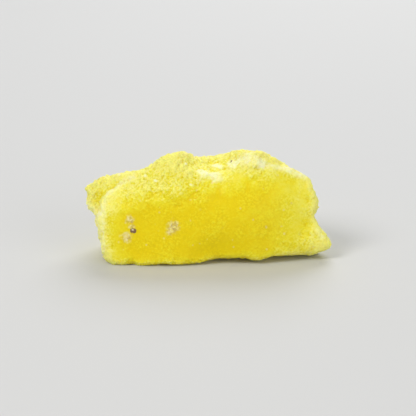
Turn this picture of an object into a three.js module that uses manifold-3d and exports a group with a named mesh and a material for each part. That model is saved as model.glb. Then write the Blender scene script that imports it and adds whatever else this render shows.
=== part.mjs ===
// A mass of lemon-yellow brucite as it was broken from its vein: one solid piece.
//
// Lengths are in millimetres. X runs along the specimen, to the right as its smooth
// front face is looked at; Y runs back from that face; Z is up. The origin is the
// middle of the bounding box's foot, and the piece rests on its flat broken foot.
//
// The piece is described as a signed distance, negative inside. Two layers that grew
// together are each bounded by a few broken faces, lumps stand on them and hollows are
// taken out, the whole is trimmed to the outline of the specimen, and a granular skin is
// laid over the result. The sides of a box, ruled in small squares, are then drawn in
// towards the heart of the piece until every corner meets that surface.

import * as THREE from "three";
import { mergeVertices } from "three/addons/utils/BufferGeometryUtils.js";
import Module from "manifold-3d";

// Driving dimensions
const LENGTH = 46; // left corner to right tip
const HEIGHT = 20.5; // foot to the highest lump
const DEPTH = 19; // front face to back
const SQUARE = 0.95; // side of the squares that the surface is ruled in

const FRONT = -DEPTH / 2; // the smooth face's place, and the foot's front edge
const BACK = DEPTH / 2;

// The outline is drawn as the front is seen from this far above the horizon: across, and
// up the picture from the foot's front edge.
const LOOKING_DOWN = THREE.MathUtils.degToRad(17);

const LEFT_END = [
  [-19.0, 0.5],
  [-19.6, 1.1],
  [-20.3, 3.0],
  [-20.4, 5.7],
  [-21.0, 8.4],
];
const REAR_LAYER_CORNER = [
  [-21.2, 10.0],
  [-22.9, 11.0],
  [-22.8, 13.5],
  [-23.4, 15.0],
  [-22.3, 15.4],
  [-20.5, 16.1],
  [-18.4, 16.9],
];
const CREST = [
  [-14.5, 17.6],
  [-12.3, 18.0],
  [-10.5, 18.8],
  [-8.8, 20.1],
  [-6.9, 20.8],
  [-5.5, 21.5],
  [-3.6, 22.0],
  [-3.0, 20.3],
  [-1.1, 20.7],
  [0.4, 20.6],
  [2.4, 21.0],
  [4.6, 21.6],
  [6.9, 21.4],
  [9.7, 21.3],
  [11.3, 20.6],
  [14.2, 19.1],
  [16.2, 17.5],
  [18.4, 16.8],
];
const RIGHT_END = [
  [19.1, 15.1],
  [19.8, 13.5],
  [20.3, 12.0],
  [20.1, 10.7],
  [19.2, 9.4],
  [20.5, 7.6],
  [21.7, 6.0],
  [23.1, 4.1],
  [22.9, 3.4],
  [21.0, 2.7],
];
const FRONT_FOOT_EDGE = [
  [18.4, 2.1],
  [15.0, 2.1],
  [12.0, 2.0],
  [9.4, 1.2],
  [8.6, 1.1],
  [6.6, 1.7],
  [2.0, 1.6],
  [-0.8, 1.1],
  [-3.0, 0.5],
  [-10.0, 0.5],
  [-13.2, 0.0],
  [-14.4, 0.9],
  [-15.6, 0.2],
];
const OUTLINE = [...LEFT_END, ...REAR_LAYER_CORNER, ...CREST, ...RIGHT_END, ...FRONT_FOOT_EDGE];

// The front layer stops short of the rear one at the upper left, where its edge stands
// out as a step.
const STEP_EDGE = [
  [-20.9, 9.5],
  [-20.0, 9.9],
  [-19.8, 12.0],
  [-19.2, 13.3],
  [-17.8, 14.5],
  [-15.3, 16.3],
  [-13.2, 17.4],
  [-8.0, 24.0],
];
const ABOVE_RIGHT = [30.0, 24.0];
const BELOW_RIGHT = [30.0, -4.0];
const BELOW_LEFT = [-19.0, -4.0];
const FRONT_LAYER_OUTLINE = [...LEFT_END, ...STEP_EDGE, ABOVE_RIGHT, BELOW_RIGHT, BELOW_LEFT];

// Broken faces: each passes through a point and looks along a direction.
const FRONT_LAYER_FACES = [
  { at: [-8, FRONT, 2], looks: [-0.04, -1, 0.1] }, // the large smooth face
  { at: [10, -8.4, 9], looks: [0.26, -1, -0.02] }, // where it turns to the right
  { at: [8, -6.8, 15.5], looks: [0.1, -0.87, 0.45] }, // leaning back towards the rim
  { at: [15.4, -7, 9], looks: [0.5, -1, 0.1] }, // turning again
  { at: [18.6, -5, 9], looks: [0.85, -0.8, 0.1] }, // right end
  { at: [-8, -9, 13.8], looks: [-0.22, -0.66, 0.72] }, // granular slope up to the crest
  { at: [7, -3, 19.4], looks: [0.08, -0.08, 1] }, // top of the right-hand lump
  { at: [-20.6, -7.5, 5], looks: [-1, -0.5, 0.05] }, // left end
];
const REAR_LAYER_FACES = [
  { at: [-21, -4.2, 9], looks: [-0.5, -0.8, 0.4] }, // seen above the step
  { at: [-10, -5.3, 9], looks: [0, -1, 0.1] }, // hidden behind the front layer
  { at: [-22, 0, 7], looks: [-0.6, -0.2, -0.8] }, // its underside
];
const BACK_FACES = [
  { at: [-11, BACK - 2.8, 7], looks: [-0.2, 1, 0.12] }, // back, left half
  { at: [9, BACK - 2.2, 6], looks: [0.2, 1, 0.2] }, // back, right half
  { at: [-3, 5.2, 17.2], looks: [-0.1, 0.6, 0.8] }, // upper back
  { at: [14, 5.5, 13.5], looks: [0.55, 0.45, 0.7] }, // upper back, right
  { at: [-17, 5, 13.6], looks: [-0.3, 0.4, 0.85] }, // upper back, left
  { at: [-22, 2.5, 6], looks: [-0.8, 0.75, -0.05] }, // left end, behind
  { at: [-18.5, 6, 2], looks: [-0.5, 0.6, -0.7] }, // the same, low
  { at: [19.4, 0, 9], looks: [1, 0.5, 0.1] }, // right end
  { at: [17, 5, 6], looks: [0.75, 0.8, 0.1] }, // right end, behind
  { at: [0, BACK - 2.2, 0], looks: [0.05, 0.85, -0.5] }, // foot, behind
];

// Lumps are ellipsoids grown onto the layers, and hollows are ellipsoids taken out; the
// rim of each hollow is as soft as it says.
const LUMPS = [
  { at: [-6, -1.6, 17.4], radii: [3.8, 3.4, 3.4] }, // left-hand lump of the crest
  { at: [8.4, -1.5, 16.6], radii: [6.2, 4.6, 3.8] }, // right-hand lump
  { at: [17.6, -1.5, 11], radii: [3.3, 3.6, 4] }, // bulge above the notch
  { at: [18.6, -2.8, 3.6], radii: [4.6, 3, 2.6] }, // spur that ends in the tip
  { at: [-13, 5.6, 7], radii: [4.2, 3, 4] }, // swelling of the back
  { at: [3.5, 6.2, 5], radii: [4, 2.6, 3.4] }, // swelling of the back, low
];
const HOLLOWS = [
  { at: [0.9, -3.6, 20.9], radii: [5, 5.8, 3.3], soft: 3.4 }, // saddle between the lumps
  { at: [3.8, -13.1, 1.6], radii: [11, 4.6, 7.2], soft: 1.2 }, // undercut of the front face
  { at: [-6, 12.2, 9.5], radii: [5.5, 4.6, 4.2], soft: 1.5 }, // flake lost from the back
  { at: [12.5, 11, 12.5], radii: [5, 4.2, 3.6], soft: 1.5 }, // the same, further right
];

// How softly the faces and lumps run into each other, and into the outline.
const FACE_ROUNDING = 1.5;
const LUMP_ROUNDING = 2.2;
const OUTLINE_ROUNDING = 1;

// Broad waves run everywhere, and the skin over them is of rounded grains, coarse on
// broken surfaces and faint on the smooth front face. A salt picks one random pattern.
const WAVE = { length: 9, height: 0.45, salt: 5 };
const GRAIN = { length: 2.6, coarse: 0.6, faint: 0.12, salt: 11 };
const GRAIN_MIDDLE = 0.6; // the height of a grain that neither adds nor takes away

// The heart is a line along the piece that every ray starts on.
const HEART = { reach: 13, y: -0.6, z: 8.6 };
const RAY_STEP = 0.5;
const RAY_LIMIT = 30;
const HALVINGS = 24;

const unit = ([x, y, z]) => {
  const size = Math.hypot(x, y, z);
  return [x / size, y / size, z / size];
};

const smoothMax = (a, b, width) => {
  const h = Math.max(width - Math.abs(a - b), 0) / width;
  return Math.max(a, b) + (h * h * width) / 4;
};
const smoothMin = (a, b, width) => -smoothMax(-a, -b, width);

const smoothStep = (low, high, value) => {
  const t = Math.min(Math.max((value - low) / (high - low), 0), 1);
  return t * t * (3 - 2 * t);
};

// Signed distance from a point of the picture plane to a closed outline.
function outlineDistance(outline, across, up) {
  let nearest = Infinity;
  let inside = false;
  for (let i = 0, j = outline.length - 1; i < outline.length; j = i++) {
    const [ax, ay] = outline[j];
    const [bx, by] = outline[i];
    const [ex, ey] = [bx - ax, by - ay];
    const along = ((across - ax) * ex + (up - ay) * ey) / (ex * ex + ey * ey);
    const t = Math.min(Math.max(along, 0), 1);
    nearest = Math.min(nearest, Math.hypot(across - ax - t * ex, up - ay - t * ey));
    if (ay > up !== by > up && across < ax + (ex * (up - ay)) / ey) inside = !inside;
  }
  return inside ? -nearest : nearest;
}

function seenOutlineDistance(outline, x, y, z) {
  const up = z * Math.cos(LOOKING_DOWN) + (y - FRONT) * Math.sin(LOOKING_DOWN);
  return outlineDistance(outline, x, up);
}

function faceDistance({ at, looks }, x, y, z) {
  const [nx, ny, nz] = unit(looks);
  return nx * (x - at[0]) + ny * (y - at[1]) + nz * (z - at[2]);
}

// Near its surface this is close to the true distance to an ellipsoid.
function ellipsoidDistance({ at, radii }, x, y, z) {
  const [px, py, pz] = [x - at[0], y - at[1], z - at[2]];
  const once = Math.hypot(px / radii[0], py / radii[1], pz / radii[2]);
  const twice = Math.hypot(px / radii[0] ** 2, py / radii[1] ** 2, pz / radii[2] ** 2);
  return twice > 0 ? (once * (once - 1)) / twice : -Math.min(...radii);
}

// Large odd numbers that stir the place of a cell until it looks random.
const STIR_PLACE = [374761393, 668265263, 1103515245];
const STIR_SALT = 974634777;
const STIR_AGAIN = [1274126177, 1911520717];
const WHOLE_RANGE = 2 ** 32;

// A repeatable number from 0 to 1 for each cell of a lattice.
function cellNumber(i, j, k, salt) {
  const [a, b, c] = STIR_PLACE;
  let n = Math.imul(i, a) ^ Math.imul(j, b) ^ Math.imul(k, c);
  n = Math.imul(n ^ Math.imul(salt, STIR_SALT) ^ (n >>> 13), STIR_AGAIN[0]);
  n = Math.imul(n ^ (n >>> 15), STIR_AGAIN[1]);
  return ((n ^ (n >>> 16)) >>> 0) / WHOLE_RANGE;
}

// Smooth noise from -1 to 1, whose waves are one unit long.
function waves(x, y, z, salt) {
  const [i, j, k] = [Math.floor(x), Math.floor(y), Math.floor(z)];
  const [u, v, w] = [x - i, y - j, z - k].map((t) => t * t * (3 - 2 * t));
  let sum = 0;
  for (let corner = 0; corner < 8; corner++) {
    const [a, b, c] = [corner & 1, (corner >> 1) & 1, corner >> 2];
    const share = (a ? u : 1 - u) * (b ? v : 1 - v) * (c ? w : 1 - w);
    sum += share * cellNumber(i + a, j + b, k + c, salt);
  }
  return 2 * sum - 1;
}

// Rounded grains packed side by side: 1 at a grain's middle, 0 in the seams.
function grains(x, y, z, salt) {
  const [i, j, k] = [Math.floor(x), Math.floor(y), Math.floor(z)];
  let nearest = 4;
  for (let a = i - 1; a <= i + 1; a++)
    for (let b = j - 1; b <= j + 1; b++)
      for (let c = k - 1; c <= k + 1; c++) {
        const dx = a + cellNumber(a, b, c, salt) - x;
        const dy = b + cellNumber(a, b, c, salt + 1) - y;
        const dz = c + cellNumber(a, b, c, salt + 2) - z;
        nearest = Math.min(nearest, dx * dx + dy * dy + dz * dz);
      }
  return Math.max(1 - nearest, 0);
}

// 0 on the smooth front face, rising to 1 above it, round its ends and behind.
function granularShare(x, y, z) {
  const aboveFace = smoothStep(10.5, 14.5, z - 0.1 * x);
  const behindFace = smoothStep(-7.2, -4.5, y - 0.3 * Math.max(x - 6, 0));
  return Math.max(aboveFace, behindFace);
}

const waveHeight = (x, y, z) =>
  WAVE.height * waves(x / WAVE.length, y / WAVE.length, z / WAVE.length, WAVE.salt);

function grainHeight(x, y, z) {
  const grain = grains(x / GRAIN.length, y / GRAIN.length, z / GRAIN.length, GRAIN.salt);
  const coarseness = GRAIN.faint + (GRAIN.coarse - GRAIN.faint) * granularShare(x, y, z);
  return coarseness * (grain - GRAIN_MIDDLE);
}

function pieceDistance(x, y, z) {
  const within = (distance, face) =>
    smoothMax(distance, faceDistance(face, x, y, z), FACE_ROUNDING);
  const step = seenOutlineDistance(FRONT_LAYER_OUTLINE, x, y, z);
  const frontLayer = FRONT_LAYER_FACES.reduce(within, step);
  const rearLayer = REAR_LAYER_FACES.reduce(within, -DEPTH);
  let distance = BACK_FACES.reduce(within, Math.min(frontLayer, rearLayer));
  for (const lump of LUMPS)
    distance = smoothMin(distance, ellipsoidDistance(lump, x, y, z), LUMP_ROUNDING);
  for (const hollow of HOLLOWS)
    distance = smoothMax(distance, -ellipsoidDistance(hollow, x, y, z), hollow.soft);
  distance -= waveHeight(x, y, z);
  const outline = seenOutlineDistance(OUTLINE, x, y, z);
  return smoothMax(distance, outline, OUTLINE_ROUNDING) - grainHeight(x, y, z);
}

// Walks from the heart towards a point until the ray leaves the piece, and then halves
// in on the surface.
function surfaceTowards(x, y, z) {
  const start = [(2 * HEART.reach * x) / LENGTH, HEART.y, HEART.z];
  const way = unit([x - start[0], y - start[1], z - start[2]]);
  const along = (t) => start.map((value, axis) => value + t * way[axis]);
  let inner = 0;
  let outer = RAY_STEP;
  while (outer < RAY_LIMIT && pieceDistance(...along(outer)) < 0) {
    inner = outer;
    outer += RAY_STEP;
  }
  for (let halving = 0; halving < HALVINGS; halving++) {
    const middle = (inner + outer) / 2;
    if (pieceDistance(...along(middle)) < 0) inner = middle;
    else outer = middle;
  }
  return along(inner);
}

function bareBox(...sizes) {
  const box = new THREE.BoxGeometry(...sizes);
  box.deleteAttribute("normal");
  box.deleteAttribute("uv");
  return mergeVertices(box);
}

function roughPiece() {
  const squares = [LENGTH, DEPTH, HEIGHT].map((side) => Math.round(side / SQUARE));
  const geometry = bareBox(LENGTH, DEPTH, HEIGHT, ...squares);
  geometry.translate(0, 0, HEIGHT / 2);
  const corners = geometry.getAttribute("position");
  for (let i = 0; i < corners.count; i++)
    corners.setXYZ(i, ...surfaceTowards(corners.getX(i), corners.getY(i), corners.getZ(i)));
  return geometry;
}

const wasm = await Module();
wasm.setup();

const toSolid = (geometry) =>
  new wasm.Manifold(
    new wasm.Mesh({
      numProp: 3,
      vertProperties: geometry.getAttribute("position").array,
      triVerts: new Uint32Array(geometry.index.array),
    }),
  );

function toGeometry(solid) {
  const mesh = solid.getMesh();
  return new THREE.BufferGeometry()
    .setAttribute("position", new THREE.BufferAttribute(mesh.vertProperties, 3))
    .setIndex(new THREE.BufferAttribute(mesh.triVerts, 1));
}

// Everything below the foot is cut away flat.
function cutFoot(geometry) {
  const ground = bareBox(2 * LENGTH, 2 * LENGTH, HEIGHT);
  ground.translate(0, 0, -HEIGHT / 2);
  return toGeometry(toSolid(geometry).subtract(toSolid(ground)));
}

function centred(geometry) {
  geometry.computeBoundingBox();
  const middle = geometry.boundingBox.getCenter(new THREE.Vector3());
  geometry.translate(-middle.x, -middle.y, 0);
  geometry.computeVertexNormals();
  return geometry;
}

const lemonBrucite = new THREE.MeshStandardMaterial({
  color: 0xebd21e,
  roughness: 0.5,
  metalness: 0,
  flatShading: true,
});

const piece = new THREE.Mesh(centred(cutFoot(roughPiece())), lemonBrucite);
piece.name = "brucite_crystal";

const specimen = new THREE.Group();
specimen.add(piece);

export default specimen;
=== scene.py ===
import math

import bpy
import numpy as np
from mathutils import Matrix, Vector, noise


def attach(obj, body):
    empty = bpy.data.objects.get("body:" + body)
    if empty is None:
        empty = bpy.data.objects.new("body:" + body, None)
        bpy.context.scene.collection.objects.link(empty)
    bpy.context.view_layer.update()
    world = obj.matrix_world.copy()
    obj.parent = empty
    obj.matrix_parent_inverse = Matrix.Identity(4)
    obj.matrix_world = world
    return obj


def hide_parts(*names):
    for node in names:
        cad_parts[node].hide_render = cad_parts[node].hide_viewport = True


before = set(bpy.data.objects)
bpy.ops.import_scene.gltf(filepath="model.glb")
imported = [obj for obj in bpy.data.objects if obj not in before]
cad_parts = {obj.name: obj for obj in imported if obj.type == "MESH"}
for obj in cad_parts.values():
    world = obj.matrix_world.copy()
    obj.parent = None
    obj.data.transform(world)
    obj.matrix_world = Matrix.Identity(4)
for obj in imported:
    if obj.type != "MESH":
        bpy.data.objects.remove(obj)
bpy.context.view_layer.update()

NODE = "brucite_crystal"
MM = 0.001  # the surface is worked on in millimetres and stored in metres

# Camera, in millimetres and degrees
VIEW_ELEVATION = 17.0
VIEW_DISTANCE = 300.0
VIEW_TARGET = (0.06, 0.0, 8.5)
VIEW_WIDTH = 78.2  # how much is seen from side to side at the target
NEAREST_SEEN = 10.0
SENSOR = 36.0

# Studio, in metres and watts: each light's name, place, size, power and colour
LIGHTS = (
    ("key", (-0.42, -0.4, 0.54), 0.35, 3.25, (1, 0.985, 0.96)),
    ("fill", (0.5, -0.5, 0.2), 0.6, 1.6, (0.97, 0.985, 1)),
    ("back", (0.1, 0.45, 0.45), 0.5, 2.2, (1, 1, 1)),
)
LIGHT_AIM = (0, 0, 0.01)
SKY_COLOUR = (0.93, 0.94, 0.95, 1)
SKY_STRENGTH = 0.44
FLOOR_HALF = 3.0
FLOOR_COLOUR = (0.6, 0.6, 0.595, 1)
FLOOR_ROUGHNESS = 0.75

# The fine mesh, in millimetres; the two steps are shares of the way to the mean around
WELD_WITHIN = 0.0005
VOXEL = 0.4
ROUNDS_OF_SMOOTHING = 3
SHRINK = 0.5
SWELL = -0.52  # the opposite step, so that the pair smooths facets and keeps the size

# Relief, in millimetres: the size of a lump or grain, and how high it stands on the
# smooth face and on granular surfaces.
LUMPS = {"size": 3.6, "smooth": 0.06, "granular": 0.3}
GRAINS = {"size": 1.9, "smooth": 0.05, "granular": 0.34}
CHIPS = {"size": 0.95, "smooth": 0.04, "granular": 0.26}
SUGAR = {"size": 0.58, "smooth": 0.06, "granular": 0.25}
GRAIN_MIDDLE = 0.75  # taken off the rounded grains, so that they don't swell the stone
CHIP_STEEPNESS = 2.2
CHIP_STIR = 5.3  # draws the chips' middles apart, so that neighbours are tipped differently
SEED = 12  # settles which way each chip is tipped
# this relief is also added under the painted highlights, which share the frost's mask
RELIEF_UNDER_FROST_AND_HIGHLIGHTS = 0.06  # how much sugary relief frost adds
MATRIX_RELIEF = 0.07  # and how much grains of matrix add
DARK_GRAIN_HEIGHT = 0.08
DARK_PIT_DEPTH = 0.25
FOOT_ZONE = 0.5  # below this height the relief only goes sideways, so the foot stays flat

# Small chips lost along the foot's edge, in millimetres. They fade out upwards between
# two heights, and are there where their noise passes from the first to the second value.
CHIPPED_FOOT = {"size": 1.8, "lift": 0.45, "height": (0.9, 0.1), "noise": (-0.1, 0.5)}

# How far each place stands out of the surface around it, in millimetres. The surface
# around it is found by rounds of averaging, and what stands out counts up to a limit.
# These set painted highlights: the colour is made paler where the surface stands out, on
# ridges, along edges and on grain tips
RIDGE_ROUNDS = 40
RIDGE_LIMIT = 0.25
EDGE_ROUNDS = 9
EDGE_LIMIT = 0.1
TIP_ROUNDS = 3
TIP_CALM_BEHIND = 0.5  # how much less the tips of grains count on the back

# Places on the surface, in millimetres, found from where the photograph shows them
# The right hump's top rim and the slab's left edge: their whitish frost is partly painted
# highlight, where the rims catch the light
RIM_FROST_AND_HIGHLIGHT = [
    (4.2, -3.1, 18.1), (5.0, -3.6, 18.6), (6.1, -4.4, 19.3), (7.4, -5.3, 19.8),
    (8.8, -5.6, 19.6), (9.9, -5.7, 18.8), (11.0, -5.6, 18.4), (12.5, -5.2, 18.0),
    (14.0, -4.9, 17.7), (15.1, -4.9, 17.2), (16.4, -4.6, 16.5), (17.7, -4.4, 15.8),
]
SLAB_EDGE = [
    (-19.2, -8.2, 2.7), (-19.2, -8.3, 6.5), (-19.1, -8.3, 9.8), (-19.1, -7.4, 11.2),
    (-18.7, -6.3, 12.8), (-17.6, -5.7, 13.8), (-16.1, -4.8, 14.7), (-13.7, -4.8, 16.2),
]
SLAB_CORNER = [(-20.2, -6.8, 9.3), (-19.6, -8.0, 9.8)]
# Painted shade: a deeper gold along the crevice behind the slab's left edge
PAINTED_SHADE_HOLLOW = [(-21.3, -3.4, 9.8), (-20.4, -3.6, 10.7), (-19.8, -3.4, 12.2)]
FROSTED_SPUR = [(20.4, -6.2, 6.0), (21.0, -6.3, 4.9)]
SADDLE_PATCH = [(-1.0, -5.4, 17.0), (1.0, -6.0, 16.7), (2.1, -6.4, 16.4)]
SADDLE_CHIP = [(1.5, -2.2, 17.5), (2.1, -3.1, 17.4), (2.6, -3.8, 17.4)]
PIT_RIM = [(3.9, -3.2, 17.9), (4.7, -3.2, 18.3)]

# Lines of frost and painted highlight: where each runs, how wide its whitish band is and
# how strong
FROST_AND_HIGHLIGHT_LINES = (
    (RIM_FROST_AND_HIGHLIGHT[:6], 0.9, 1.0),
    (RIM_FROST_AND_HIGHLIGHT[5:], 0.5, 0.7),
    (SLAB_EDGE, 0.5, 0.5),
    (SLAB_CORNER, 0.4, 0.9),
    (FROSTED_SPUR, 0.4, 0.45),
    (SADDLE_PATCH, 0.8, 1.0),
    (SADDLE_CHIP, 0.4, 1.0),
    (PIT_RIM, 0.45, 0.9),
)
# The painted highlight along the lines fades and spreads as the frost does
LINE_FADE = (1.6, 0.1)  # frost goes from none to full between these shares of its width
SPREAD_BACK = (1, 0.65, 1)  # frost reaches further back over the top than it does down
# Painted highlights: small whitish glints painted into the colour where grains sparkle
PAINTED_GLINTS = [
    (-9.5, -6.4, 15.7), (-3.1, -7.2, 15.1), (-7.3, -7.1, 15.0), (-4.0, -4.4, 18.3),
    (-20.0, -7.7, 7.6), (-19.1, -8.2, 6.5), (-19.6, -7.3, 2.7), (-21.9, -1.3, 12.4),
    (-11.5, -5.0, 16.3), (-16.4, -3.2, 16.0), (-22.5, -0.7, 9.7),
]
PAINTED_GLINT_RADIUS = 0.28
PAINTED_GLINT_FADE = (1.3, 0.5)

# Thin frost over the left end, low down: the places between which it comes in
FROSTED_END = {"from": (18.6, 20.0), "height": (11, 9), "ragged": 0.6, "strength": 0.45}
# the same noise breaks the edges of the painted highlights and glints
RAGGED_FROST_AND_HIGHLIGHTS = ((0.6, 0.6), (1.9, 0.8))  # size and strength of the noise in frost's edges

# Matrix grains: each one's centre, radius and strength
MATRIX_PATCHES = [
    ((-14.2, -8.6, 9.0), 0.85, 0.95),
    ((-13.9, -8.8, 7.6), 0.6, 0.8),
    ((-14.9, -8.9, 5.6), 1.1, 0.9),
    ((-6.3, -9.0, 7.7), 1.2, 1.0),
    ((-6.9, -9.0, 6.8), 0.85, 0.8),
    ((15.5, -6.8, 11.5), 0.3, 0.7),
    ((10.7, -8.3, 7.4), 0.25, 0.7),
]
MATRIX_FADE = (1.25, 0.35)
MATRIX_RAGGED = {"size": 0.45, "strength": 0.5}  # noise in the grains' edges

# Single dark marks: centre and radius
DARK_GRAIN = ((-13.6, -8.8, 6.9), 0.54)
GRAIN_HEART = ((-13.7, -8.8, 7.0), 0.25)
DARK_PIT = ((4.2, -2.6, 18.3), 0.48)
SPOT_FADE = (1.1, 0.6)

# Where the yellow is washed out. Each pair is the places, in millimetres, between which
# a fade goes from none to full. GOLD_TAKEN is the share of the gold that each takes away.
CREST_FADE = (11.5, 18.5)
CREST_SLOPE = 0.17  # the crest's fade lies higher towards the right
LEFT_FADE = (13.5, 21.0)
LEFT_LEAN = 0.4  # the left end's fade reaches further in, the higher it is above LEAN_FROM
LEAN_FROM = 8
RIGHT_FADE = (8.0, 21.0)
LOW_LEFT_FADE = (12.0, 19.0)
LOW_LEFT_HEIGHT = (7.0, 1.0)
BACK_FADE = (-1.0, 5.0)
GOLD_TAKEN = {"crest": 0.92, "left": 0.7, "right": 0.7, "low left": 0.4, "back": 0.7}
# the hollow's deeper gold is painted shade
HOLLOW_FADE = (1.8, 0.3)
HOLLOW_SHARE = 0.3  # how much of the paleness the golden hollow holds off

# Where the surface is granular. Each pair is the places, in millimetres, between which
# it goes from smooth to granular, and a share is how granular it gets there.
FACE_TOP = (10.5, 15.5)
FACE_STEP = (-4, 6)  # between these the smooth face's top rises, from left to right
FACE_STEP_HEIGHT = 4.5
FACE_TOP_RAGGED = 1.6
FACE_BACK = (-6.6, -4.2)
FACE_TURN = 0.3  # the smooth face turns back at this slope, right of FACE_TURNS_AT
FACE_TURNS_AT = 6
LEFT_END = (16.5, 19.5)
LEFT_END_SHARE = 0.8
RIGHT_END = (17, 19.5)
RIGHT_END_SHARE = 0.6
LOW_RIGHT = (10, 17)
LOW_RIGHT_HEIGHT = (7.5, 4.5)
LOW_RIGHT_SHARE = 0.4
FOOT_EDGE = (2.2, 0.4)
FOOT_EDGE_SHARE = 0.6
EDGES_RAGGED = {"size": 2.5, "strength": 0.5}  # noise that shifts these edges
CALM_BEHIND = 0.4  # how much less granular the back is

# Colours
GOLD = (0.84, 0.665, 0.001)
LEMON = (0.86, 0.75, 0.02)
PALE = (0.88, 0.8, 0.09)
POWDER = (0.9, 0.84, 0.2)
YELLOWS = ((0.0, GOLD), (0.35, LEMON), (0.7, PALE), (1.0, POWDER))
# whitish frost, also used for the painted highlights and glints
FROST_AND_HIGHLIGHT_WHITE = (0.98, 0.95, 0.57)
TAN = (0.56, 0.41, 0.14)
CREAM = (0.86, 0.77, 0.4)
STONE = (0.7, 0.6, 0.4)
UMBER = (0.25, 0.15, 0.085)
DARK_MARKS = ((DARK_GRAIN, UMBER), (GRAIN_HEART, STONE), (DARK_PIT, UMBER))

# Sizes of the noise in the material, in millimetres
CLOUDS = 5.0
PATCHES = 2.8
FLECKS = 1.6
MOTTLE = 1.3
STAINS = 0.7
MARK_EDGES = 0.6
DUST = 0.55
FACETS = 0.4
GRIT = 0.36
FIBRES = {"width": 0.3, "length": 1.6, "slope": 32}  # the slope is in degrees

# Ranges in the material: a value between the first two numbers becomes one between the
# last two.
LIVELY_PATCHES = (0.35, 0.65, 0.2, 0.7)
GLITTER = (0.3, 0.7, 0.88, 1.05)
DUSTY_FROST_AND_HIGHLIGHTS = (0.3, 0.65, 0.5, 1)
FLECKED = (0.06, 0.2, 0.5, 0)
FLECK_GROUPS = (0.45, 0.6, 0, 1)
STAIN_MIX = (0.4, 0.6, 0, 1)
GRITTY_STAIN = (0.35, 0.6, 0.6, 1)
MARK_FADE = (0.75, 1.1, 1, 0)

# Strengths in the material
CLOUD_SWING = 0.3
SPECKLE_SWINGS = {"grit": 1.1, "dust": 0.9, "mottle": 0.4, "fibres": 0.6}
# Painted highlights: how much paler ridges, edges and grain tips are made
PAINTED_HIGHLIGHTS_BY = {"ridge_highlight": 1.2, "edge": 3.0, "tip_highlight": 4.0}
GRANULAR_LIVELINESS = 0.55
GLITTER_SHARE = 0.8
MARK_RAGGED = 1.5
ROUGHNESS = 0.33
ROUGHENED_BY = {"dust": 0.25, "granular": 0.08, "frost_and_highlights": 0.12}
FACET_LEAST = 0.2
FACET_MORE = 1.2  # what is added to it where the surface is granular
GRIT_BUMP = 0.6
BUMP_STRENGTH = 0.75
BUMP_DEPTH = 0.12  # in millimetres

# The stone itself: light soaks in and comes out yellow, with a faint waxy sheen
MILKY_STONE = (
    ("IOR", 1.57),
    ("Subsurface Weight", 0.8),
    ("Subsurface Radius", (0.95, 0.82, 0.22)),
    ("Subsurface Scale", 0.8 * MM),
    ("Specular IOR Level", 0.17),
    ("Sheen Weight", 0.14),
    ("Sheen Roughness", 0.35),
    ("Sheen Tint", (1, 0.98, 0.7, 1)),
)


def smooth_step(low, high, value):
    """0 at the low end, rising smoothly to 1 at the high end; the ends may be swapped."""
    t = np.clip((value - low) / (high - low), 0, 1)
    return t * t * (3 - 2 * t)


def turned_to(way):
    """The rotation that makes a camera or a light look along a way."""
    return way.to_track_quat("-Z", "Y")


def make_camera():
    elevation = math.radians(VIEW_ELEVATION)
    back = Vector((0, -math.cos(elevation), math.sin(elevation)))
    data = bpy.data.cameras.new("camera")
    data.sensor_width = SENSOR
    data.lens = SENSOR * VIEW_DISTANCE / VIEW_WIDTH
    data.clip_start = NEAREST_SEEN * MM
    camera = bpy.data.objects.new("camera", data)
    camera.location = (Vector(VIEW_TARGET) + back * VIEW_DISTANCE) * MM
    camera.rotation_mode = "QUATERNION"
    camera.rotation_quaternion = turned_to(-back)
    bpy.context.scene.collection.objects.link(camera)
    bpy.context.scene.camera = camera


def make_light(name, place, size, power, colour):
    data = bpy.data.lights.new(name, "AREA")
    data.shape = "DISK"
    data.size = size
    data.energy = power
    data.color = colour
    light = bpy.data.objects.new(name, data)
    light.location = place
    light.rotation_mode = "QUATERNION"
    light.rotation_quaternion = turned_to(Vector(LIGHT_AIM) - Vector(place))
    bpy.context.scene.collection.objects.link(light)


def make_studio():
    for light in LIGHTS:
        make_light(*light)
    world = bpy.data.worlds.new("studio")
    bpy.context.scene.world = world
    world.use_nodes = True
    background = world.node_tree.nodes["Background"]
    background.inputs["Color"].default_value = SKY_COLOUR
    background.inputs["Strength"].default_value = SKY_STRENGTH
    bpy.context.scene.view_settings.view_transform = "Standard"


def make_floor():
    half = FLOOR_HALF
    mesh = bpy.data.meshes.new("floor")
    corners = [(-half, -half, 0), (half, -half, 0), (half, half, 0), (-half, half, 0)]
    mesh.from_pydata(corners, [], [(0, 1, 2, 3)])
    floor = bpy.data.objects.new("floor", mesh)
    bpy.context.scene.collection.objects.link(floor)
    material = bpy.data.materials.new("floor")
    material.use_nodes = True
    surface = material.node_tree.nodes["Principled BSDF"]
    surface.inputs["Base Color"].default_value = FLOOR_COLOUR
    surface.inputs["Roughness"].default_value = FLOOR_ROUGHNESS
    mesh.materials.append(material)


def vertex_array(mesh, what="co"):
    values = np.zeros(len(mesh.vertices) * 3, np.float32)
    mesh.vertices.foreach_get(what, values)
    return values.reshape(-1, 3).astype(float)


def set_places(mesh, places):
    mesh.vertices.foreach_set("co", places.astype(np.float32).ravel())
    mesh.update()


def edge_table(mesh):
    """Each edge's two vertices, and how many edges meet at each vertex."""
    edges = np.zeros(len(mesh.edges) * 2, np.int32)
    mesh.edges.foreach_get("vertices", edges)
    edges = edges.reshape(-1, 2)
    counts = np.bincount(edges.ravel(), minlength=len(mesh.vertices)).astype(float)
    return edges, counts


def neighbour_mean(values, edges, counts):
    """The mean, at each vertex, of the values at the other ends of its edges."""
    total = np.zeros_like(values)
    np.add.at(total, edges[:, 0], values[edges[:, 1]])
    np.add.at(total, edges[:, 1], values[edges[:, 0]])
    return total / counts[:, None]


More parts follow.
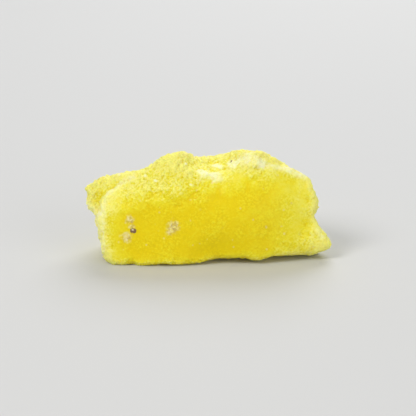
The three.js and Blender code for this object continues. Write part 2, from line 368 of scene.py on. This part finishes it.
def bulge(places, normals, edges, counts, rounds):
    """How far each place stands out of the surface around it, in millimetres."""
    around = places
    for _ in range(rounds):
        around = neighbour_mean(around, edges, counts)
    return ((places - around) * normals).sum(1)


def apply_modifiers(piece):
    graph = bpy.context.evaluated_depsgraph_get()
    made = bpy.data.meshes.new_from_object(piece.evaluated_get(graph))
    piece.modifiers.clear()
    piece.data = made


def fine_mesh():
    """A close, even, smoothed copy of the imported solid's surface, in millimetres."""
    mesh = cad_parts[NODE].data.copy()
    mesh.name = "brucite_surface"
    mesh.materials.clear()
    piece = bpy.data.objects.new("brucite_surface", mesh)
    bpy.context.scene.collection.objects.link(piece)
    set_places(mesh, vertex_array(mesh) / MM)
    weld = piece.modifiers.new("weld", "WELD")
    weld.merge_threshold = WELD_WITHIN
    remesh = piece.modifiers.new("remesh", "REMESH")
    remesh.mode = "VOXEL"
    remesh.voxel_size = VOXEL
    apply_modifiers(piece)
    places = vertex_array(piece.data)
    edges, counts = edge_table(piece.data)
    on_foot = places[:, 2] < VOXEL / 2
    for _ in range(ROUNDS_OF_SMOOTHING):
        for step in (SHRINK, SWELL):
            places += step * (neighbour_mean(places, edges, counts) - places)
            places[on_foot, 2] = 0
    set_places(piece.data, places)
    finer = piece.modifiers.new("finer", "SUBSURF")
    finer.levels = 1
    finer.render_levels = 1
    apply_modifiers(piece)
    return piece


def line_distance(places, line):
    """How far each place is from a line of points."""
    points = np.array(line)
    best = np.full(len(places), np.inf)
    for start, end in zip(points[:-1], points[1:]):
        way = end - start
        along = np.clip((places - start) @ way / (way @ way), 0, 1)
        nearest = start + along[:, None] * way
        best = np.minimum(best, np.linalg.norm(places - nearest, axis=1))
    return best


def lump_relief(places, size):
    """Soft swellings and hollows of one size, either side of 0."""
    return np.array([noise.noise(Vector(p) / size) for p in places])


def grain_relief(places, size):
    """Rounded grains packed side by side: 1 at a grain's middle, near 0 in the seams."""
    nearest = np.array([noise.voronoi(Vector(p) / size)[0][0] for p in places])
    return np.clip(1 - nearest**2, 0, 1)


def chip_relief(places, size):
    """Small flat faces, each tipped its own way, that meet in sharp steps."""
    rise = np.zeros(len(places))
    for i, place in enumerate(places):
        middle = noise.voronoi(Vector(place) / size)[1][0]
        way = noise.noise_vector(middle * CHIP_STIR)
        rise[i] = (Vector(place) / size - middle).dot(way)
    return np.clip(rise * CHIP_STEEPNESS, -1, 1)


def spot(places, centre, radius):
    """1 at a single small mark, falling to 0 round it."""
    return smooth_step(*SPOT_FADE, np.linalg.norm(places - centre, axis=1) / radius)


def behind(places):
    """0 on the face that is looked at, rising to 1 on the back."""
    return smooth_step(*BACK_FADE, places[:, 1])


def paleness(places):
    """How far the yellow is washed out: towards the crest, both ends and the back, less so
    along a hollow where shade is painted as deeper gold.
    """
    x, _, z = places.T
    fades = {
        "crest": smooth_step(*CREST_FADE, z - CREST_SLOPE * x),
        "left": smooth_step(*LEFT_FADE, LEFT_LEAN * np.maximum(z - LEAN_FROM, 0) - x),
        "right": smooth_step(*RIGHT_FADE, x),
        "low left": smooth_step(*LOW_LEFT_FADE, -x) * smooth_step(*LOW_LEFT_HEIGHT, z),
        "back": behind(places),
    }
    golden = np.ones(len(places))
    for where, fade in fades.items():
        golden *= 1 - GOLD_TAKEN[where] * fade
    # painted shade: paleness held off along the hollow
    hollow = smooth_step(*HOLLOW_FADE, line_distance(places, PAINTED_SHADE_HOLLOW))
    return (1 - golden) * (1 - HOLLOW_SHARE * hollow)


def granular_share(places):
    """0 on the smooth front face, rising to 1 above it, round its ends and behind."""
    x, y, z = places.T
    ragged = lump_relief(places, EDGES_RAGGED["size"])
    stirred = EDGES_RAGGED["strength"] * ragged
    above = z - FACE_STEP_HEIGHT * smooth_step(*FACE_STEP, x) + FACE_TOP_RAGGED * ragged
    back = y - FACE_TURN * np.maximum(x - FACE_TURNS_AT, 0) + ragged
    low_right = smooth_step(*LOW_RIGHT, x) * smooth_step(*LOW_RIGHT_HEIGHT, z)
    shares = [
        smooth_step(*FACE_TOP, above),
        smooth_step(*FACE_BACK, back),
        LEFT_END_SHARE * smooth_step(*LEFT_END, -x + stirred),
        RIGHT_END_SHARE * smooth_step(*RIGHT_END, x + stirred),
        LOW_RIGHT_SHARE * low_right,
        FOOT_EDGE_SHARE * smooth_step(*FOOT_EDGE, z + stirred),
    ]
    return np.maximum.reduce(shares) * (1 - CALM_BEHIND * behind(places))


def paint_frost_and_highlights(places):
    """Whitish bruised rims and patches, with painted highlights on the lit rims and painted
    glints, broken up and with ragged edges.
    """
    ragged = sum(strength * lump_relief(places, size) for size, strength in RAGGED_FROST_AND_HIGHLIGHTS)
    x, _, z = places.T
    end = smooth_step(*FROSTED_END["from"], FROSTED_END["ragged"] * ragged - x)
    end *= smooth_step(*FROSTED_END["height"], z)
    frost_and_highlights = FROSTED_END["strength"] * end * (1 - behind(places))
    for line, width, strength in FROST_AND_HIGHLIGHT_LINES:
        spread_line = np.array(line) * SPREAD_BACK
        far = line_distance(places * SPREAD_BACK, spread_line) / width + ragged
        frost_and_highlights = np.maximum(frost_and_highlights, strength * smooth_step(*LINE_FADE, far))
    # painted highlights: whitish glints painted round each listed point
    for painted_glint in PAINTED_GLINTS:
        far = np.linalg.norm(places - painted_glint, axis=1) / PAINTED_GLINT_RADIUS + ragged
        frost_and_highlights = np.maximum(frost_and_highlights, smooth_step(*PAINTED_GLINT_FADE, far))
    return frost_and_highlights


def matrix_share(places):
    """Grains of tan matrix showing in the smooth face."""
    ragged = MATRIX_RAGGED["strength"] * lump_relief(places, MATRIX_RAGGED["size"])
    share = np.zeros(len(places))
    for centre, radius, strength in MATRIX_PATCHES:
        far = np.linalg.norm(places - centre, axis=1) / radius + ragged
        share = np.maximum(share, strength * smooth_step(*MATRIX_FADE, far))
    return share


def layer_height(layer, granular):
    """How high a layer of relief stands at each place, by how granular it is there."""
    return layer["smooth"] + (layer["granular"] - layer["smooth"]) * granular


def fine_relief(places, granular, frost_and_highlights, matrix):
    """How far each place moves out along its normal, in millimetres."""
    grains = grain_relief(places, GRAINS["size"])
    sugar = grain_relief(places, SUGAR["size"])
    rise = layer_height(LUMPS, granular) * lump_relief(places, LUMPS["size"])
    rise += layer_height(GRAINS, granular) * (grains - GRAIN_MIDDLE)
    rise += layer_height(CHIPS, granular) * chip_relief(places, CHIPS["size"])
    rise += layer_height(SUGAR, granular) * (sugar - GRAIN_MIDDLE)
    rise += RELIEF_UNDER_FROST_AND_HIGHLIGHTS * frost_and_highlights * sugar + MATRIX_RELIEF * matrix * sugar
    marks = DARK_GRAIN_HEIGHT * spot(places, *DARK_GRAIN)
    marks -= DARK_PIT_DEPTH * spot(places, *DARK_PIT)
    return rise + marks


def foot_lift(places, normals):
    """How far each place is lifted where chips are lost along the foot's edge."""
    sideways = np.linalg.norm(normals[:, :2], axis=1)
    chipped = sideways * smooth_step(*CHIPPED_FOOT["height"], places[:, 2])
    ragged = lump_relief(places, CHIPPED_FOOT["size"])
    chipped *= smooth_step(*CHIPPED_FOOT["noise"], ragged)
    return CHIPPED_FOOT["lift"] * chipped


def store(mesh, name, values):
    """Keeps a value for each vertex, for the material to read by its name."""
    attribute = mesh.attributes.new(name, "FLOAT", "POINT")
    attribute.data.foreach_set("value", values.astype(np.float32))


def dress_surface():
    """The fine surface with its relief, and with what its material reads stored on it."""
    noise.seed_set(SEED)
    piece = fine_mesh()
    mesh = piece.data
    places = vertex_array(mesh)
    normals = vertex_array(mesh, "normal")
    edges, counts = edge_table(mesh)
    granular = granular_share(places)
    pale = paleness(places)
    # where highlights are painted: ridges, edges and, after the relief, grain tips
    ridge_highlight = bulge(places, normals, edges, counts, RIDGE_ROUNDS)
    edge = bulge(places, normals, edges, counts, EDGE_ROUNDS)
    frost_and_highlights = paint_frost_and_highlights(places)
    matrix = matrix_share(places)

    rise = fine_relief(places, granular, frost_and_highlights, matrix)
    lift = foot_lift(places, normals)
    normals[places[:, 2] < FOOT_ZONE, 2] = 0
    places += normals * rise[:, None]
    places[:, 2] = np.maximum(places[:, 2], 0) + lift
    set_places(mesh, places * MM)
    tip_highlight = bulge(places, vertex_array(mesh, "normal"), edges, counts, TIP_ROUNDS)
    tip_highlight *= 1 - TIP_CALM_BEHIND * behind(places)

    store(mesh, "granular", granular)
    store(mesh, "pale", pale)
    store(mesh, "ridge_highlight", np.minimum(ridge_highlight, RIDGE_LIMIT))
    store(mesh, "edge", np.minimum(edge, EDGE_LIMIT))
    store(mesh, "tip_highlight", tip_highlight)
    store(mesh, "frost_and_highlights", frost_and_highlights)
    store(mesh, "matrix", matrix)
    mesh.shade_smooth()
    return piece


class Nodes:
    """Short ways to add and join the nodes of one material."""

    def __init__(self, material):
        material.use_nodes = True
        self.tree = material.node_tree
        self.shader = self.tree.nodes["Principled BSDF"]
        self.places = self.add("ShaderNodeTexCoord").outputs["Object"]

    def add(self, kind, **settings):
        made = self.tree.nodes.new(kind)
        for name, value in settings.items():
            setattr(made, name, value)
        return made

    def feed(self, socket, value):
        if isinstance(value, bpy.types.NodeSocket):
            self.tree.links.new(value, socket)
        elif isinstance(value, tuple) and len(value) == 3:
            socket.default_value = (*value, 1)
        else:
            socket.default_value = value

    def attribute(self, name):
        return self.add("ShaderNodeAttribute", attribute_name=name).outputs["Fac"]

    def math(self, operation, *values):
        made = self.add("ShaderNodeMath", operation=operation)
        for socket, value in zip(made.inputs, values):
            self.feed(socket, value)
        return made.outputs[0]

    def scaled(self, value, low, high, to_low, to_high):
        """A value taken smoothly from one range to another."""
        made = self.add("ShaderNodeMapRange", interpolation_type="SMOOTHSTEP")
        for name, setting in (
            ("Value", value),
            ("From Min", low),
            ("From Max", high),
            ("To Min", to_low),
            ("To Max", to_high),
        ):
            self.feed(made.inputs[name], setting)
        return made.outputs[0]

    def mix(self, share, first, second, how="MIX"):
        made = self.add("ShaderNodeMix", data_type="RGBA", blend_type=how)
        for name, value in (("Factor", share), ("A", first), ("B", second)):
            sockets = [s for s in made.inputs if s.name == name and s.enabled]
            self.feed(sockets[0], value)
        return [s for s in made.outputs if s.enabled][0]

    def noise(self, size, detail=2.0, roughness=0.5):
        made = self.add("ShaderNodeTexNoise")
        self.feed(made.inputs["Vector"], self.places)
        self.feed(made.inputs["Scale"], 1 / (size * MM))
        self.feed(made.inputs["Detail"], detail)
        self.feed(made.inputs["Roughness"], roughness)
        return made.outputs[0]

    def fibres(self, width, length, slope):
        """Noise drawn out along lines that fall to the right at a slope, in degrees."""
        turned = self.add("ShaderNodeMapping", vector_type="TEXTURE")
        self.feed(turned.inputs["Vector"], self.places)
        turned.inputs["Rotation"].default_value = (0, math.radians(slope), 0)
        turned.inputs["Scale"].default_value = (length * MM, width * MM, width * MM)
        made = self.add("ShaderNodeTexNoise")
        self.feed(made.inputs["Vector"], turned.outputs[0])
        self.feed(made.inputs["Scale"], 1.0)
        self.feed(made.inputs["Detail"], 1.0)
        return made.outputs[0]

    def varied(self, value, how_much, base):
        """A noise value, swinging either way about its middle, added to a base."""
        swing = self.math("SUBTRACT", value, 0.5)
        return self.math("MULTIPLY_ADD", swing, how_much, base)

    def cells(self, size):
        """How far each place is from the middle of its cell, one cell beside another."""
        made = self.add("ShaderNodeTexVoronoi")
        self.feed(made.inputs["Vector"], self.places)
        self.feed(made.inputs["Scale"], 1 / (size * MM))
        return made.outputs["Distance"]

    def near(self, centre, radius, ragged):
        """1 within a radius of a point, in millimetres, with a ragged edge."""
        away = self.add("ShaderNodeVectorMath", operation="DISTANCE")
        self.feed(away.inputs[0], self.places)
        away.inputs[1].default_value = [value * MM for value in centre]
        far = self.math("MULTIPLY", away.outputs["Value"], 1 / (radius * MM))
        return self.scaled(self.varied(ragged, MARK_RAGGED, far), *MARK_FADE)


def washed_yellow(nodes, pale):
    """Golden where the stone is deep, through lemon to a pale powdery yellow."""
    ramp = nodes.add("ShaderNodeValToRGB")
    stops = ramp.color_ramp.elements
    for position, _ in YELLOWS[1:-1]:
        stops.new(position)
    for stop, (_, colour) in zip(stops, YELLOWS):
        stop.color = (*colour, 1)
    nodes.feed(ramp.inputs["Fac"], pale)
    return ramp.outputs["Color"]


def stone_colour(nodes, fields):
    """The yellow, paler where it is washed out, with painted highlights where it stands
    out, and broken by speckle.
    """
    pale = nodes.varied(nodes.noise(CLOUDS), CLOUD_SWING, nodes.attribute("pale"))
    # painted highlights on ridges, edges and grain tips
    for name, how_much in PAINTED_HIGHLIGHTS_BY.items():
        pale = nodes.math("MULTIPLY_ADD", nodes.attribute(name), how_much, pale)
    speckle = 0.0
    for name, how_much in SPECKLE_SWINGS.items():
        speckle = nodes.varied(fields[name], how_much, speckle)
    patches = nodes.scaled(nodes.noise(PATCHES), *LIVELY_PATCHES)
    lively = nodes.math("MULTIPLY_ADD", fields["granular"], GRANULAR_LIVELINESS, patches)
    pale = nodes.math("MULTIPLY_ADD", speckle, lively, pale)
    glitter = nodes.scaled(fields["grit"], *GLITTER)
    share = nodes.math("MULTIPLY", lively, GLITTER_SHARE)
    return nodes.mix(share, washed_yellow(nodes, pale), glitter, "MULTIPLY")


def marked_colour(nodes, colour, fields):
    """The colour with its frost and painted highlights, pale flecks, tan matrix and dark
    marks.
    """
    dusty = nodes.scaled(fields["dust"], *DUSTY_FROST_AND_HIGHLIGHTS)
    # frost and painted highlights: whitish where the mask says, broken by dust noise
    frost_and_highlight_mix = nodes.math("MULTIPLY", dusty, fields["frost_and_highlights"])
    colour = nodes.mix(frost_and_highlight_mix, colour, FROST_AND_HIGHLIGHT_WHITE)
    groups = nodes.scaled(fields["mottle"], *FLECK_GROUPS)
    flecks = nodes.math("MULTIPLY", nodes.scaled(nodes.cells(FLECKS), *FLECKED), groups)
    colour = nodes.mix(flecks, colour, CREAM)
    stain = nodes.mix(nodes.scaled(nodes.noise(STAINS), *STAIN_MIX), TAN, CREAM)
    gritty = nodes.scaled(fields["grit"], *GRITTY_STAIN)
    stained = nodes.math("MULTIPLY", fields["matrix"], gritty)
    colour = nodes.mix(stained, colour, stain)
    for mark, tone in DARK_MARKS:
        colour = nodes.mix(nodes.near(*mark, nodes.noise(MARK_EDGES)), colour, tone)
    return colour


def stone_roughness(nodes, fields):
    """Waxy where the face is smooth, duller in dust, on grains and under frost and painted
    highlights.
    """
    rough = ROUGHNESS
    for name, more in ROUGHENED_BY.items():
        rough = nodes.math("MULTIPLY_ADD", fields[name], more, rough)
    return rough


def stone_bump(nodes, fields):
    """Facets and grit about as fine as the mesh; the facets stand higher where granular."""
    height = nodes.math("MULTIPLY_ADD", fields["granular"], FACET_MORE, FACET_LEAST)
    facets = nodes.math("MULTIPLY", nodes.cells(FACETS), height)
    skin = nodes.math("MULTIPLY_ADD", fields["grit"], GRIT_BUMP, facets)
    bump = nodes.add("ShaderNodeBump")
    bump.inputs["Strength"].default_value = BUMP_STRENGTH
    bump.inputs["Distance"].default_value = BUMP_DEPTH * MM
    nodes.feed(bump.inputs["Height"], skin)
    return bump.outputs[0]


def brucite_material():
    """Milky yellow stone; what is stored on the surface and the noise are its fields."""
    material = bpy.data.materials.new("brucite")
    nodes = Nodes(material)
    fields = {name: nodes.attribute(name) for name in ("granular", "frost_and_highlights", "matrix")}
    fields["mottle"] = nodes.noise(MOTTLE, detail=3.0)
    fields["dust"] = nodes.noise(DUST, detail=3.0, roughness=0.65)
    fields["grit"] = nodes.noise(GRIT, detail=1.0)
    fields["fibres"] = nodes.fibres(**FIBRES)
    colour = marked_colour(nodes, stone_colour(nodes, fields), fields)
    nodes.feed(nodes.shader.inputs["Base Color"], colour)
    nodes.feed(nodes.shader.inputs["Roughness"], stone_roughness(nodes, fields))
    nodes.feed(nodes.shader.inputs["Normal"], stone_bump(nodes, fields))
    for name, value in MILKY_STONE:
        nodes.shader.inputs[name].default_value = value
    return material


make_camera()
make_studio()
make_floor()
surface = dress_surface()
surface.data.materials.append(brucite_material())
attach(surface, "root")
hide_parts(NODE)
